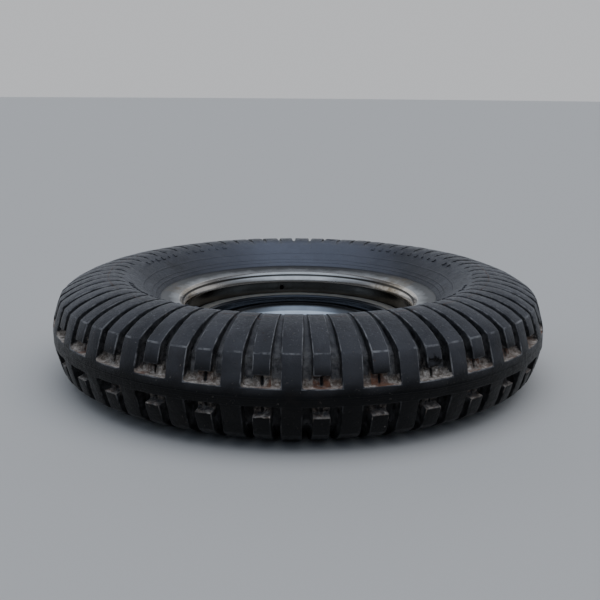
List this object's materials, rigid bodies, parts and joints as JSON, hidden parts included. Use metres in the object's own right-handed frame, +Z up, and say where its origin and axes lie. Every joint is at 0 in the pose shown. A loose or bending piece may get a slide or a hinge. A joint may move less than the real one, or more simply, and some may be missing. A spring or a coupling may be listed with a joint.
{
  "type": "tyre-shaped desk tray",
  "caption": "Round desk tray shaped like a small truck tyre lying flat, with a pressed steel rim in the hole and a round dish that lifts out.",
  "frame": {"origin": "centre of the circle on which the tyre rests, on the standing surface", "axes": "+Z up along the wheel axis; -Y towards the front view; +X to the right of that view"},
  "size_m": [0.16, 0.16, 0.0336],
  "materials": {
    "tyre_rubber": "old moulded black rubber, dull, dusty in the tread pockets and scuffed along the lug edges",
    "plated_steel": "worn bright plating with brown tarnish in patches",
    "dish_steel": "bright plating, hazy with use",
    "rivet_steel": "plain dull steel"
  },
  "bodies": {
    "wheel": {"tyre_casing": "tyre_rubber", "upper_rim": "plated_steel", "lower_rim": "plated_steel", "rim_rivet_1": "rivet_steel", "rim_rivet_2": "rivet_steel", "rim_rivet_3": "rivet_steel", "rim_rivet_4": "rivet_steel"},
    "dish": {"dish": "dish_steel"}
  },
  "joints": [
    {"name": "dish_lift", "type": "slide", "parent": "wheel", "child": "dish", "axis": [0, 0, 1], "range_m": [0, 0.028]}
  ]
}
